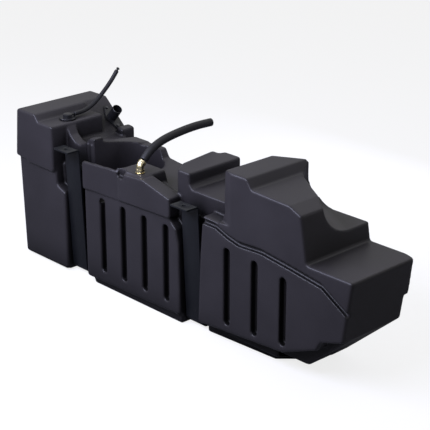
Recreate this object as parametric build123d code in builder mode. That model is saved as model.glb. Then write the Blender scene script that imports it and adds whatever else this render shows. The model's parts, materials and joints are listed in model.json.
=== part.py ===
from build123d import *
import os
from math import cos, pi, radians, sin, tan

# Larger replacement fuel tank that hangs between a truck's frame rails on two steel slings.
# Millimetres. X runs along the vehicle, -Y is the outer side, +Z is up.
# The origin is on the ground under the middle of the tank, which stands on its moulded belly.

# ---- Overall sizes -------------------------------------------------------------------------
tank_length = 1673.0        # front end to rear end
tank_width = 350.0          # outer wall to inner wall, at the front half
tank_height = 620.0         # belly to the top of the rear dome
wall = 7.0                  # moulded wall

# ---- Stretches along the tank, from the front end (-X) to the rear end ---------------------
head_length = 229.0         # box at the front end
front_bay = 169.0           # gap for the front sling
band_length = 468.0         # raised band between the slings
rear_bay = 174.0            # gap for the rear sling
dome_offset = 82.0          # start of the rear dome, from the end of the rear bay
tail_slope = 262.0          # end of the belly, from the rear end
tail_lean = 60.0            # lean of the end face over the height of the shelf

# ---- Depths across the tank, from the outer wall or the inner wall -------------------------
skirt_setback = 10.0        # wall below the head's box
band_overhang = 9.0         # ribbed wall below the band
channel_depth = 49.0        # floor of the sling channels
saddle_depth = 70.0         # wall behind the sling flanges
notch_depth = 55.0          # near faces of the middle block and the notch
rear_inset = 50.0           # inner wall of the rear half
belly_inset = 77.0          # inner wall of the rear half, low down

# ---- Heights -------------------------------------------------------------------------------
belly_relief = 19.0         # sling channel under the belly
core_top = 409.0            # flat shelf at the rear end
skirt_top = 380.0           # bottom of the head's box
ledge_height = 553.0        # ledge that carries the rollover valve
head_top = 578.0
saddle_low = 432.0          # bottom of the saddle beside the middle block
pad_height = 488.0          # pad that carries the vent elbow
well_rim = 480.0            # inner rim of the sender well
block_top = 539.0           # middle block
notch_height = 486.0        # notch between the middle block and the dome
cove_radius = 100.0
cove_floor = 468.0          # floor of the cove behind the dome
inner_step = 280.0          # step along the inner wall of the rear half
shelf_bend = 36.0           # radius between the dome's end and the rear shelf

# ---- Grooved ribs, swage line and small features of the outer wall -------------------------
rib_width = 27.0
rib_depth = 24.0
band_ribs = 4
band_rib_start = 101.0
band_rib_pitch = 112.0
band_rib_span = (68.0, 349.0)
rear_rib_start = 101.0
rear_rib_pitch = 125.0
rear_rib_spans = [(87.0, 360.0), (94.0, 354.0), (104.0, 338.0)]
swage_width = 17.0
swage_depth = 13.0
band_notch_width = 36.0
band_notch_depth = 20.0
bead_radius = 6.0
bead_height = 74.0
bead_setbacks = [45.5, 24.5]   # ahead of the band
band_crease = 6.0           # how far the front half of the band turns in

# ---- Sender well and sender ----------------------------------------------------------------
well_offset = 94.5          # middle of the well, behind the start of the band
well_half_length = 104.0
well_back = 92.0            # Y of the well's inner side
well_floor = 330.0
sender_hole_radius = 52.0
sender_y = -30.0
seal_thickness = 3.0
sender_lip = 6.0            # how far the flange reaches past its hole
sender_flange_radius = sender_hole_radius + sender_lip
sender_flange_thickness = 6.0
lock_ring_rim = 14.0        # how far the ring reaches past the flange
lock_ring_radius = sender_flange_radius + lock_ring_rim
lock_ring_thickness = 2.5
sender_bolts = 6
sender_bolt_radius = 2.5    # M5
sender_bolt_circle = sender_flange_radius + lock_ring_rim / 2
cup_radius = 44.0
cup_height = 90.0
cup_floor = 30.0            # height of the cup's underside
arm_length = 150.0
arm_wire_radius = 1.5
float_height = 26.0

# ---- Rollover valve and its hose -----------------------------------------------------------
valve_setback = 40.5        # ahead of the end of the head's box
valve_y = -68.0
valve_hole_radius = 22.0
valve_disc_radius = valve_hole_radius + 8.5
cage_radius = 17.0
cage_length = 62.0
cage_wall = 2.0
poppet_travel = 5.0
vent_hose_radius = 8.0
vent_hose_bore = 4.5
vent_hose_height = 566.0

# ---- Vent elbow and its hose ---------------------------------------------------------------
elbow_offset = 278.5        # behind the start of the band
elbow_y = -137.0
elbow_hex = 24.0            # across the flats
elbow_turn = 45.0           # degrees
breather_radius = 14.5
breather_bore = 9.5

# ---- Filler neck ---------------------------------------------------------------------------
slope_run = 122.0           # length of the filler's slope along X
slope_drop = 106.5
filler_along = 97.0         # centre of the neck down the slope, from the top of the slope
filler_inset = 36.0         # middle of the neck, from the inner wall
filler_tube_radius = 19.0
filler_hole_radius = filler_tube_radius + 2.5
filler_bore = 16.5
filler_length = 55.0
filler_plate = 4.0
filler_bolt_spacing = 84.0
filler_bolt_radius = 3.0    # M6
gasket_thickness = 2.0
flap_thickness = 1.6
flap_pin_radius = 1.25

# ---- Slings --------------------------------------------------------------------------------
sling_offset = 95.5         # middle of the front sling, behind the head's box
sling_pitch = 625.0
sling_width = 80.0
sling_plate = 6.0
sling_lean = 20.0           # how far each leg leans in over its height
sling_setback = 15.0        # outer face of each leg at its flange, in from the tank's wall
flange_reach = 49.0
front_flange_height = 497.0
rear_flange_height = 456.0
far_flange_drop = 80.0      # the inner flange is lower than the outer one
sling_hole_radius = 7.0     # clears an M12 bolt
liner_thickness = 3.0       # rubber between steel and tank

# ---- Clearances ----------------------------------------------------------------------------
gap = 0.3                   # between pieces that may touch
pin_clearance = 0.05        # radial, pin in its running hole
bolt_clearance = 0.5        # radial, bolt in its through hole

# ---- Places worked out from the sizes above ------------------------------------------------
x_front = -tank_length / 2
x_rear = tank_length / 2
x_head = x_front + head_length
x_band = x_head + front_bay
x_band_end = x_band + band_length
x_wall = x_band_end + rear_bay
x_dome = x_wall + dome_offset
y_outer = -tank_width / 2
y_inner = tank_width / 2
y_rear = y_inner - rear_inset
y_belly = y_inner - belly_inset
y_channel = y_outer + channel_depth
y_saddle = y_outer + saddle_depth
y_notch = y_outer + notch_depth
y_well = y_outer + 2 * wall
valve_x = x_head - valve_setback
well_x = x_band + well_offset
elbow_x = x_band + elbow_offset
filler_y = y_inner - filler_inset
bead_places = [x_band - setback for setback in bead_setbacks]
sling_front_x = x_head + sling_offset
sling_places = [sling_front_x, sling_front_x + sling_pitch]
sling_span = tank_width - 2 * sling_setback
sling_bottom = belly_relief - liner_thickness - sling_plate

os.makedirs("parts", exist_ok=True)


def tail_x(z):
    """The leaning end face of the tail at height z."""
    return x_rear - tail_lean * (core_top - z) / core_top


def save(solid, name):
    """Label a finished piece and write it under its own name."""
    solid.label = name
    export_step(solid, f"parts/{name}.step")


# ============================================================================================
# Tank shell: overlapping masses with rounded edges, and the same masses shrunk by the wall
# ============================================================================================
def prism(plane, outline, depth, corner, edge, inset, bend=None):
    """Prism on a plane with rounded corners and end edges; inset shrinks it on every side.

    bend is one corner of the outline and its own larger radius.
    """
    with BuildPart() as solid:
        with BuildSketch(plane.offset(inset)) as profile:
            with BuildLine():
                Polyline(*outline, close=True)
            make_face()
            if bend:
                place, radius = bend
                nearest = profile.vertices().sort_by_distance(plane.from_local_coords(Vector(*place)))[0]
                others = profile.vertices().filter_by(lambda vertex: vertex != nearest)
                fillet(others, corner)
                fillet(profile.vertices().sort_by_distance(nearest)[0], radius)
            elif corner:
                fillet(profile.vertices(), corner)
            if inset:
                offset(amount=-inset)
        extrude(amount=depth - 2 * inset)
        if edge and inset <= 0:
            ends = solid.faces().filter_by(Plane(plane.origin, z_dir=plane.z_dir))
            fillet(ends.edges(), edge)
    return solid.part


def slab(outline, near, far, corner, edge, inset, bend=None):
    """Prism with an outline in X and Z that runs across the tank."""
    return prism(Plane.XZ.offset(-far), outline, far - near, corner, edge, inset, bend)


def pier(outline, low, high, corner, edge, inset):
    """Upright prism with an outline in X and Y."""
    return prism(Plane.XY.offset(low), outline, high - low, corner, edge, inset)


def ramp(outline, left, right, corner, edge, inset):
    """Prism with an outline in Y and Z that runs along the tank."""
    return prism(Plane.YZ.offset(left), outline, right - left, corner, edge, inset)


def front_masses(inset):
    """Head, filler slope, saddle and the low core that joins everything."""
    core = slab(
        [(x_front + 20, belly_relief), (x_rear - tail_slope + 22, belly_relief),
         (tail_x(203), 203), (x_rear, core_top), (x_front + 8, core_top)],
        y_channel, y_belly, 12, 9, inset)
    skirt = slab(
        [(x_front + 22, 8), (sling_front_x - sling_width / 2 - 3, 8),
         (sling_front_x - sling_width / 2 - 3, 312), (x_head + 6, 330), (x_head, core_top),
         (x_front + 8, core_top)],
        y_outer + skirt_setback, y_inner, 12, 9, inset)
    head_box = slab(
        [(x_front, skirt_top + 12), (x_front + 61, skirt_top + 10), (x_front + 74, skirt_top),
         (x_head, skirt_top - 2), (x_head, ledge_height), (x_head - 84, ledge_height),
         (x_head - 104, head_top), (x_front + 18, head_top)],
        y_outer, y_outer + 241, 9, 8, inset)
    filler_slope = slab(
        [(x_front + 6, skirt_top + 8), (x_head + 8, skirt_top), (x_head + 8, head_top - slope_drop),
         (x_head + 8 - slope_run, head_top), (x_front + 18, head_top)],
        y_outer + 115, y_inner, 9, 8, inset)
    corner_post = slab(
        [(x_head - 30, skirt_top), (x_head + 51, skirt_top), (x_head + 51, 492), (x_head + 14, 496),
         (x_head + 10, 460), (x_head - 30, 460)],
        y_inner - 62, y_inner, 9, 8, inset)
    saddle = slab(
        [(x_head - 70, skirt_top), (x_band_end - 20, skirt_top), (x_band_end - 60, saddle_low),
         (x_band_end - 92, saddle_low + 4), (x_band_end - 140, 452), (x_band_end - 160, pad_height),
         (x_band + 100, pad_height), (x_band + 40, 505), (x_band - 6, 530),
         (x_band - 42, 526), (x_band - 66, 502), (x_band - 92, 488), (x_band - 122, 492),
         (x_band - 150, 512), (x_head, 543), (x_head - 70, 543)],
        y_saddle, y_saddle + 42, 12, 7, inset)
    well_ridge = ramp(
        [(y_saddle + 20, skirt_top), (y_rear, skirt_top), (y_rear, well_rim), (y_saddle + 130, 494),
         (y_saddle + 60, 508), (y_saddle + 20, 520)],
        x_band - 54, x_band + 30, 10, 7, inset)
    saddle_back = slab(
        [(x_head - 40, skirt_top), (x_band_end - 40, skirt_top), (x_band_end - 60, saddle_low - 4),
         (x_band + 192, saddle_low + 8), (x_band + 138, 446), (x_band + 118, well_rim),
         (x_band - 50, well_rim - 6), (x_band - 92, 462), (x_head + 20, 470), (x_head - 40, 500)],
        y_saddle + 30, y_rear, 12, 7, inset)
    return [core, skirt, head_box, filler_slope, corner_post, saddle, well_ridge, saddle_back]


def middle_masses(inset):
    """Band, ribbed wall, elbow pad, middle block and notch."""
    pad_shelf = slab(
        [(x_band, skirt_top), (x_band_end - 112, skirt_top), (x_band_end - 152, pad_height),
         (x_band + 200, pad_height), (x_band, 470)],
        y_outer + 12, y_saddle + 50, 8, 5, inset)
    band = slab(
        [(x_band, 364), (x_band + 70, 368), (x_band_end, 380), (x_band_end, 450),
         (x_band_end - 136, 484), (x_band + 203, 476), (x_band, 468)],
        y_outer, y_outer + 58, 8, 6, inset)
    band_wall = slab(
        [(x_band, 24), (x_band_end + 38, 34), (x_band_end + 33, 292), (x_band_end + 20, 345),
         (x_band_end - 6, 368), (x_band_end - 12, 400), (x_band, 400)],
        y_outer + band_overhang, y_outer + 80, 12, 7, inset)
    middle_block = pier(
        [(x_band_end - 18, y_notch), (x_band_end - 58, y_notch + 58),
         (x_band_end - 84, y_rear - 22), (x_band_end - 50, y_rear - 24),
         (x_band_end - 42, y_rear), (x_band_end + 36, y_rear), (x_band_end + 40, y_notch)],
        skirt_top, block_top, 10, 8, inset)
    notch_step = slab(
        [(x_band_end - 10, skirt_top), (x_dome + 50, skirt_top), (x_dome + 50, notch_height + 60),
         (x_dome + 4, notch_height + 22), (x_dome - 16, notch_height),
         (x_band_end + 52, notch_height), (x_band_end + 36, notch_height + 16),
         (x_band_end - 10, notch_height + 16)],
        y_notch, y_rear, 8, 6, inset)
    return [pad_shelf, band, band_wall, middle_block, notch_step]


def rear_masses(inset):
    """Dome, the inner step, the tail and the outer wall of the rear half."""
    dome_foot = (x_rear - 185.4, core_top)
    dome = slab(
        [(x_wall + 20, 360), (tail_x(300), 300), (x_rear, core_top), dome_foot,
         (x_rear - 212, 560), (x_rear - 262, 582), (x_dome + 128, 588),
         (x_dome + 104, tank_height), (x_dome, tank_height), (x_dome - 6, 506), (x_wall + 80, 476)],
        y_outer, y_rear, 9, 8, inset, (dome_foot, shelf_bend))
    inner_shelf = slab(
        [(x_wall - 20, inner_step), (tail_x(inner_step), inner_step), (tail_x(390), 390),
         (x_wall - 20, 390)],
        y_outer + 100, y_rear, 9, 7, inset)
    tail = slab(
        [(x_rear - 122, 171), (tail_x(201), 201), (x_rear, core_top), (x_rear - 240, core_top),
         (x_rear - 240, 171)],
        y_outer, y_belly, 9, 8, inset)
    side_wall = slab(
        [(x_wall - 38, 50), (x_wall + 8, 53), (x_wall + 352, 79), (x_rear - 136, 140),
         (x_rear - 120, 171), (tail_x(201), 201), (x_rear, core_top), (x_rear - 195, core_top),
         (x_wall + 130, 432), (x_wall + 46, 437), (x_wall - 14, 440), (x_wall - 26, 300)],
        y_outer, y_outer + 90, 10, 8, inset)
    return [dome, inner_shelf, tail, side_wall]


def belly_masses(inset):
    """Belly pads that the tank stands on, on both sides of each sling channel."""
    foot = slab(
        [(x_front + 44, 12), (x_head - 6, 0), (sling_front_x - 58, 0), (sling_front_x - 46, 40),
         (x_front + 44, 40)],
        y_outer + 30, y_belly, 6, 5, inset)
    middle = slab(
        [(x_band + 32, 0), (x_band_end + 34, 0), (x_band_end + 40, 40), (x_band + 8, 40)],
        y_outer + 22, y_belly, 6, 5, inset)
    rear = pier(
        [(x_wall - 38, y_outer + 46), (x_rear - 368, y_outer + 64), (x_rear - tail_slope, 0),
         (x_rear - tail_slope, y_belly), (x_wall - 38, y_belly)],
        0, 40, 8, 6, inset)
    return [foot, middle, rear]


def slot_cut(x, low, high, near, depth, grow):
    """Upright groove with round ends, cut from the wall at near; grow widens it on every side."""
    middle = (low + high) / 2
    with BuildPart() as cut:
        with BuildSketch(Plane.XZ.offset(-near)):
            with Locations((x, middle)):
                SlotOverall(high - low + 2 * grow, rib_width + 2 * grow, rotation=90)
        extrude(amount=-(depth + grow))
    return cut.part


def cove_cut(grow):
    """Rounded hollow behind the dome; its walls meet the floor in large arcs."""
    floor = cove_floor + 0.5 - grow
    left = x_dome + 111 - grow
    corner = y_outer + 237 - 1.3 * grow
    with BuildPart() as cut:
        with BuildSketch(Plane.XY.offset(floor)):
            with BuildLine():
                Polyline((left, y_inner), (left, corner), (x_rear, corner - 0.6 * (x_rear - left)),
                         (x_rear, y_inner), close=True)
            make_face()
        extrude(amount=tank_height + 20 - floor)
        fillet(cut.edges().filter_by(Axis.Z).sort_by(Axis.X)[:2].sort_by(Axis.Y)[0], cove_radius + 2 + grow)
        walls = cut.edges().group_by(Axis.Z)[0].filter_by(lambda edge: edge.center().Y < y_rear + 20)
        fillet(walls.filter_by(lambda edge: edge.center().X < x_rear - 5), cove_radius + grow)
    return cut.part


def wall_cuts(grow):
    """Everything that is cut into the masses, grown by the wall for the cavity."""
    cuts = []
    for index in range(band_ribs):
        x = x_band + band_rib_start + index * band_rib_pitch
        cuts.append(slot_cut(x, *band_rib_span, y_outer + band_overhang, rib_depth, grow))
    for index, span in enumerate(rear_rib_spans):
        x = x_wall + rear_rib_start + index * rear_rib_pitch
        cuts.append(slot_cut(x, *span, y_outer, rib_depth, grow))
    half = swage_width / 2 + grow
    line = [(x_wall - 60, 424), (x_wall + 46, 421), (x_wall + 98, 402), (x_wall + 152, 390),
            (x_wall + 252, 395), (x_wall + 372, 381), (x_wall + 508, 362), (x_wall + 592, 313),
            (x_rear + 40, 262)]
    outline = [(x, z + half) for x, z in line] + [(x, z - half) for x, z in reversed(line)]
    cuts.append(slab(outline, y_outer - 20, y_outer + swage_depth + grow, 0, 0, 0))
    cuts.append(pier(
        [(x_band + 192 - grow, y_outer - 20), (x_band + 192 + band_notch_width + grow, y_outer - 20),
         (x_band + 192 + band_notch_width + grow, y_outer + band_notch_depth + grow),
         (x_band + 192 - grow, y_outer + band_notch_depth + grow)],
        458 - grow, tank_height, 6, 0, 0))
    cuts.append(pier(
        [(x_band - 20, y_outer - 20), (x_band + 200, y_outer - 20),
         (x_band + 200, y_outer + band_crease + grow), (x_band - 20, y_outer + grow - 0.6)],
        359 - grow, tank_height, 0, 0, 0))
    cuts.append(pier(
        [(x_rear - 368, y_channel - 30), (x_rear - 170, y_channel - 30), (x_rear - 170, 50),
         (x_rear - tail_slope + 4, 0)],
        -10, 46 + grow, 0, 0, 0))
    cuts.append(pier(
        [(x_dome - 32, y_outer - 4), (x_dome + 48, y_outer - 4), (x_dome - 32, y_outer + 22)],
        core_top + 30, tank_height + 20, 0, 0, -grow / 2))
    cuts.append(pier(
        [(x_dome - 12, y_outer + 210 - grow), (x_dome + 140, y_outer + 295 - grow),
         (x_dome + 140, y_inner + 10), (x_dome - 12, y_inner + 10)],
        notch_height + 0.5 - grow, tank_height + 20, 0, 0, 0))
    cuts.append(cove_cut(grow))
    cuts.append(pier(
        [(x_rear - 66, y_inner - 46 - grow), (x_rear + 10, y_inner - 69 - grow), (x_rear + 10, y_inner),
         (x_rear - 66, y_inner)],
        inner_step - 20, core_top + 20, 0, 0, 0))
    with BuildPart() as well:
        with BuildSketch(Plane.XY.offset(well_floor - grow)):
            with BuildSketch(mode=Mode.ADD) as floor_plan:
                with Locations((well_x, (y_well + well_back) / 2)):
                    Rectangle(2 * well_half_length, well_back - y_well)
                fillet(floor_plan.vertices().group_by(Axis.Y)[-1], 92)
                fillet(floor_plan.vertices().group_by(Axis.Y)[0], 26)
            if grow:
                offset(amount=grow)
        extrude(amount=tank_height - well_floor)
    cuts.append(well.part)
    return cuts


outer_masses = front_masses(0) + middle_masses(0) + rear_masses(0) + belly_masses(0)
inner_masses = front_masses(wall) + middle_masses(wall) + rear_masses(wall) + belly_masses(wall)


def rod(plane, radius, length, bore=0.0):
    """Round bar or tube that stands on a plane."""
    with BuildPart() as solid:
        with BuildSketch(plane):
            Circle(radius)
            if bore:
                Circle(bore, mode=Mode.SUBTRACT)
        extrude(amount=length)
    return solid.part


def lathe(plane, outline):
    """Turned piece: an outline of radius and height, spun about the normal of a plane."""
    with BuildPart() as solid:
        with BuildSketch(side_of(plane, 0)):
            with BuildLine():
                Polyline(*outline, close=True)
            make_face()
        revolve(axis=Axis(plane.origin, plane.z_dir))
    return solid.part


def hex_bolt(plane, radius, length):
    """Hexagon head bolt whose head stands on a plane, with its shank below."""
    with BuildPart() as solid:
        with BuildSketch(plane):
            RegularPolygon(radius * 1.85, 6)
        extrude(amount=radius * 1.3)
        with BuildSketch(plane):
            Circle(radius * 2.1)
        extrude(amount=0.8)
        with BuildSketch(plane):
            Circle(radius)
        extrude(amount=-length)
    return solid.part


def side_of(plane, y):
    """Upright plane through another at y, that draws x across and the other's normal up."""
    return Plane(plane.from_local_coords(Vector(0, y, 0)), x_dir=plane.x_dir, z_dir=-plane.y_dir)


def at(plane, x, y, z):
    """A plane parallel to another, moved to a point in its own coordinates."""
    return Plane(plane.from_local_coords(Vector(x, y, z)), x_dir=plane.x_dir, z_dir=plane.z_dir)


# ---- Reference planes of the fittings ------------------------------------------------------
slope_length = (slope_run ** 2 + slope_drop ** 2) ** 0.5
slope_dir = Vector(slope_run / slope_length, 0, -slope_drop / slope_length)
slope_normal = Vector(slope_drop / slope_length, 0, slope_run / slope_length)
slope_top = Vector(x_head + 8 - slope_run, filler_y, head_top)
filler = Plane(slope_top + slope_dir * filler_along, x_dir=slope_dir, z_dir=slope_normal)
filler_ends = (-filler_bolt_spacing / 2, filler_bolt_spacing / 2)
valve = Plane((valve_x, valve_y, ledge_height))
sender = Plane((well_x, sender_y, well_floor))
elbow = Plane((elbow_x, elbow_y, pad_height))
bolt_spots = [(sender_bolt_circle * cos(2 * pi * i / sender_bolts),
               sender_bolt_circle * sin(2 * pi * i / sender_bolts)) for i in range(sender_bolts)]
insert_wall = 2.0
sender_insert_depth = 17.0
filler_insert_depth = 15.0
boss_floor = 4.0
elbow_insert_radius = 13.0

# ---- Shell ---------------------------------------------------------------------------------
with BuildPart() as cavity:
    for mass in inner_masses:
        add(mass)
    for cut in wall_cuts(wall):
        add(cut, mode=Mode.SUBTRACT)
cavity_solid = cavity.solids().sort_by(SortBy.VOLUME)[-1]

shell_bosses = []
shell_holes = [rod(at(sender, 0, 0, -2 * wall), sender_hole_radius, 4 * wall),
               rod(at(valve, 0, 0, -2 * wall), valve_hole_radius, 4 * wall),
               rod(at(filler, 0, 0, -2 * wall), filler_hole_radius, 4 * wall),
               rod(at(elbow, 0, 0, -2 * wall), elbow_insert_radius, 4 * wall)]
for x, y in bolt_spots:
    insert_radius = sender_bolt_radius + insert_wall
    depth = sender_insert_depth + boss_floor
    shell_bosses.append(rod(at(sender, x, y, -depth), insert_radius + 4, depth - wall / 2))
    shell_holes.append(rod(at(sender, x, y, -sender_insert_depth), insert_radius, sender_insert_depth))
for x in filler_ends:
    insert_radius = filler_bolt_radius + insert_wall
    depth = filler_insert_depth + boss_floor
    shell_bosses.append(rod(at(filler, x, 0, -depth), insert_radius + 4, depth - wall / 2))
    shell_holes.append(rod(at(filler, x, 0, -filler_insert_depth), insert_radius, filler_insert_depth))

shell_beads = []
for x in bead_places:
    bead = Plane((x, y_saddle, saddle_low))
    shell_beads.append(rod(bead, bead_radius, bead_height))

with BuildPart() as tank_shell:
    for mass in outer_masses + shell_beads:
        add(mass)
    for cut in wall_cuts(0):
        add(cut, mode=Mode.SUBTRACT)
    add(cavity_solid, mode=Mode.SUBTRACT)
    for boss in shell_bosses:
        add(boss)
    for hole in shell_holes:
        add(hole, mode=Mode.SUBTRACT)
save(tank_shell.part, "tank_shell")


# ============================================================================================
# Slings: one bent steel strip each, with a flange and a bolt hole at both ends
# ============================================================================================
def sling(x, flange_height):
    """Steel strip that runs down one side, under the belly and up the other."""
    leg_top = (sling_span - sling_plate) / 2
    leg_foot = leg_top - sling_lean
    flange_tip = leg_top + sling_plate / 2 + flange_reach
    top = flange_height - sling_plate / 2
    bottom = sling_bottom + sling_plate / 2
    far_top = top - far_flange_drop
    route = [(-flange_tip, top), (-leg_top, top), (-leg_foot, bottom),
             (leg_foot, bottom), (leg_top, far_top), (flange_tip, far_top)]
    with BuildPart() as strip:
        with BuildSketch(Plane.YZ.offset(x - sling_width / 2)):
            with BuildLine():
                FilletPolyline(*route, radius=(8, 24, 24, 8))
            trace(line_width=sling_plate)
        extrude(amount=sling_width)
        flange_middle = flange_tip - flange_reach / 2
        with BuildSketch(Plane.XY.offset(flange_height)):
            with Locations((x, -flange_middle), (x, flange_middle)):
                Circle(sling_hole_radius)
        extrude(amount=-sling_plate - far_flange_drop - 1, mode=Mode.SUBTRACT)
    return strip.part


for place, height, name in zip(sling_places, (front_flange_height, rear_flange_height), ("front", "rear")):
    save(sling(place, height), f"sling_{name}")
    with BuildPart() as liner:
        with BuildSketch(Plane.XY.offset(belly_relief - liner_thickness)):
            with Locations((place, (y_channel + y_belly) / 2)):
                RectangleRounded(sling_width, y_belly - y_channel - 24, 4)
        extrude(amount=liner_thickness)
    save(liner.part, f"sling_liner_{name}")


# ============================================================================================
# Rollover valve on the head's ledge, with its hose and breather
# ============================================================================================
grommet_bore = cage_radius + 0.2
grommet_flange = 2.5
lip = 3.0
save(lathe(valve, [(grommet_bore, grommet_flange), (27, grommet_flange), (27, 0),
                   (valve_hole_radius - 0.1, 0), (valve_hole_radius - 0.1, -wall),
                   (valve_hole_radius + 2.5, -wall), (valve_hole_radius + 0.5, -wall - lip),
                   (grommet_bore, -wall - lip)]), "rollover_grommet")

nipple_height = vent_hose_height - ledge_height
nipple_length = 44.0
tower_radius = 17.0
disc_top = grommet_flange + 3.5
with BuildPart() as valve_body:
    add(lathe(valve, [(0, grommet_flange), (0, nipple_height + 8), (12, nipple_height + 8),
                      (tower_radius, nipple_height + 5), (tower_radius, disc_top),
                      (valve_disc_radius - 1, disc_top), (valve_disc_radius, disc_top - 1.2),
                      (valve_disc_radius, grommet_flange)]))
    add(rod(at(valve, 0, 0, -cage_length), cage_radius, cage_length + grommet_flange, cage_radius - cage_wall))
    add(rod(at(valve, 0, 0, -cage_length), cage_radius, cage_wall, 6))
    with BuildSketch(Plane.XZ.offset(-valve_y)):
        with Locations((valve_x, ledge_height + nipple_height)):
            Circle(vent_hose_bore - gap / 3)
    extrude(amount=-nipple_length)
    with BuildSketch(Plane.XZ.offset(-valve_y)):
        with Locations((valve_x, ledge_height + nipple_height)):
            Circle(2.5)
    extrude(amount=-nipple_length, mode=Mode.SUBTRACT)
save(valve_body.part, "rollover_valve")

poppet_low = -cage_length + cage_wall + gap
poppet_top = -poppet_travel - gap
save(lathe(valve, [(0, poppet_low), (12, poppet_low), (14, poppet_low + 2), (14, poppet_top - 12),
                   (5, poppet_top), (0, poppet_top)]), "rollover_poppet")


def hose(route, radii, outer, bore):
    """Tube along straight runs joined by tangent arcs."""
    with BuildPart() as tube:
        with BuildLine():
            path = FilletPolyline(*route, radius=radii)
        with BuildSketch(Plane(route[0], z_dir=Vector(*route[1]) - Vector(*route[0]))):
            Circle(outer)
            Circle(bore, mode=Mode.SUBTRACT)
        sweep(path=path.wire())
    return tube.part, path.length


def bend_radii(route):
    """Largest arc that fits the runs beside each inner point."""
    radii = []
    for before, point, after in zip(route, route[1:], route[2:]):
        run_in = Vector(*point) - Vector(*before)
        run_out = Vector(*after) - Vector(*point)
        half_turn = radians(run_in.get_angle(run_out)) / 2
        radii.append(0.45 * min(run_in.length, run_out.length) / tan(half_turn))
    return radii


def save_hose(route, outer, bore, name):
    """Write a hose, print its radii and compare its volume with section times length."""
    radii = bend_radii(route)
    tube, length = hose(route, radii, outer, bore)
    section = pi * (outer ** 2 - bore ** 2)
    print(name, "length", round(length, 1), "radii", [round(radius) for radius in radii],
          "volume ratio", round(tube.volume / (section * length), 4))
    save(tube, name)


vent_route = [(valve_x, y, z) for y, z in
              [(-37.0, 566.0), (-11.0, 566.0), (17.0, 570.0), (44.0, 579.8), (70.0, 595.4),
               (98.0, 617.6), (128.0, 643.8), (152.0, 668.3), (168.5, 688.7)]]
save_hose(vent_route, vent_hose_radius, vent_hose_bore, "vent_hose")

tip = Vector(*vent_route[-1])
tip_dir = (tip - Vector(*vent_route[-2])).normalized()
breather = Plane(tip, x_dir=(1, 0, 0), z_dir=tip_dir)
save(lathe(breather, [(0, -16), (vent_hose_bore - gap / 3, -16), (vent_hose_bore - gap / 3, 0), (7, 0),
                      (7, 3), (4, 4), (4, 8), (6.5, 9), (6.5, 12), (3, 15), (0, 15)]), "vent_breather")


# ============================================================================================
# Brass elbow on the pad, with the larger hose
# ============================================================================================
save(lathe(elbow, [(9, 1), (elbow_insert_radius + 3, 1), (elbow_insert_radius + 3, 0),
                   (elbow_insert_radius, 0), (elbow_insert_radius, -wall - 5), (9, -wall - 5)]),
     "elbow_insert")

elbow_bend = 16.0
elbow_corner = 24.0         # height of the corner of the bend above the pad
elbow_reach = 17.0          # bend to the start of the hose
barb_length = 27.0
bend_run = elbow_bend * tan(radians(elbow_turn / 2))
bend_end = (elbow_bend * (1 - cos(radians(elbow_turn))),
            elbow_corner - bend_run + elbow_bend * sin(radians(elbow_turn)))
turn_dir = (sin(radians(elbow_turn)), cos(radians(elbow_turn)))


def elbow_point(reach):
    """Point on the elbow's axis at a distance past the bend."""
    return (elbow_x, elbow_y + bend_end[0] + reach * turn_dir[0],
            pad_height + bend_end[1] + reach * turn_dir[1])


barb_plane = Plane(elbow_point(elbow_reach), x_dir=(1, 0, 0), z_dir=(0, *turn_dir))
with BuildPart() as vent_elbow:
    with BuildLine():
        spine = FilletPolyline((elbow_x, elbow_y, pad_height + 1),
                               (elbow_x, elbow_y, pad_height + elbow_corner),
                               elbow_point(elbow_reach), radius=elbow_bend)
    with BuildSketch(Plane((elbow_x, elbow_y, pad_height + 1))):
        Circle(12)
    sweep(path=spine.wire())
    with BuildSketch(Plane((elbow_x, elbow_y, pad_height + 1))):
        RegularPolygon(elbow_hex / 2, 6, major_radius=False)
    extrude(amount=12)
    add(rod(elbow.offset(-wall - 4), 9 - gap / 3, wall + 6))
    add(lathe(barb_plane, [(0, -4), (breather_bore - 0.6, -4), (breather_bore - 0.6, 6),
                           (breather_bore - 0.1, 6.2), (breather_bore - 0.6, 12),
                           (breather_bore - 0.1, 12.2), (breather_bore - 0.6, 18),
                           (breather_bore - 0.1, 18.2), (breather_bore - 1.4, barb_length),
                           (0, barb_length)]))
    add(rod(elbow.offset(-wall - 5), 6, wall + elbow_corner), mode=Mode.SUBTRACT)
    add(rod(barb_plane.offset(-elbow_reach - 8), 6, elbow_reach + 10 + barb_length), mode=Mode.SUBTRACT)
save(vent_elbow.part, "vent_elbow")

breather_route = [elbow_point(elbow_reach)] + [(elbow_x, y, z) for y, z in
                  [(-101.2, 547.8), (-77.0, 563.8), (-48.5, 575.9), (-11.6, 585.1),
                   (35.9, 591.8), (91.7, 596.7), (145.7, 598.1), (193.6, 595.6)]]
save_hose(breather_route, breather_radius, breather_bore, "breather_hose")


# ============================================================================================
# Filler neck on the head's slope, with its gasket, bolts and flap
# ============================================================================================
def oval_plate(plane, thickness, bore, bolt_hole):
    """Plate with two bolt ears round a bore."""
    with BuildPart() as solid:
        with BuildSketch(plane):
            Circle(filler_tube_radius + 8)
            with Locations(*[(x, 0) for x in filler_ends]):
                Circle(10)
            make_hull()
            Circle(bore, mode=Mode.SUBTRACT)
            with Locations(*[(x, 0) for x in filler_ends]):
                Circle(bolt_hole, mode=Mode.SUBTRACT)
        extrude(amount=thickness)
    return solid.part


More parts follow.
